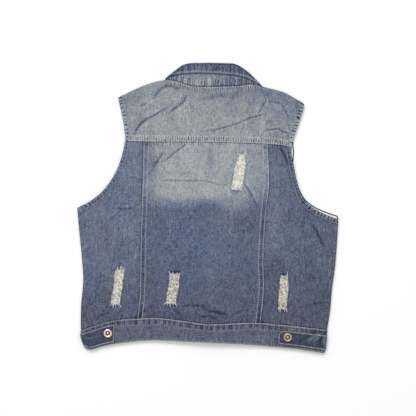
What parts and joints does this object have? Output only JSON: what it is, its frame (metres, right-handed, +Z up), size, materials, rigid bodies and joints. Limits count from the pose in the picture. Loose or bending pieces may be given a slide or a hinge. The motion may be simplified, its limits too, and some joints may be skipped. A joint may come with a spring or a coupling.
{
  "type": "denim vest",
  "caption": "Sleeveless washed denim vest lying face down, buttoned up, with a turned collar, pale faded yoke, ripped patches with white weft, side tabs and metal tack buttons.",
  "frame": {"origin": "middle of the footprint, on the surface the vest lies on", "axes": "+Z up from the surface, +Y towards the collar, +X to the right of someone who looks down at the back"},
  "size_m": [0.5228, 0.5794, 0.0119],
  "materials": {
    "denim": "matte washed indigo twill",
    "denim_faded": "matte twill, bleached pale",
    "weft": "loose undyed cotton threads",
    "button_metal": "polished rose gold plating"
  },
  "bodies": {
    "root": {"back_yoke": "denim_faded", "back_centre": "denim", "back_side_left": "denim", "back_side_right": "denim", "waistband_back": "denim", "tab_left": "denim", "tab_right": "denim", "button_tab_left": "button_metal", "button_tab_right": "button_metal", "collar_back": "denim", "collar_front_left": "denim", "collar_front_right": "denim", "front_left": "denim", "front_right": "denim", "button_strip_outer": "denim", "button_strip_under": "denim", "waistband_front_left": "denim", "waistband_front_right": "denim", "button_front_1": "button_metal", "button_front_2": "button_metal", "button_front_3": "button_metal", "button_front_4": "button_metal", "button_front_5": "button_metal", "button_front_6": "button_metal", "rip_weft_1": "weft", "rip_weft_2": "weft", "rip_weft_3": "weft", "rip_weft_4": "weft"}
  },
  "joints": []
}
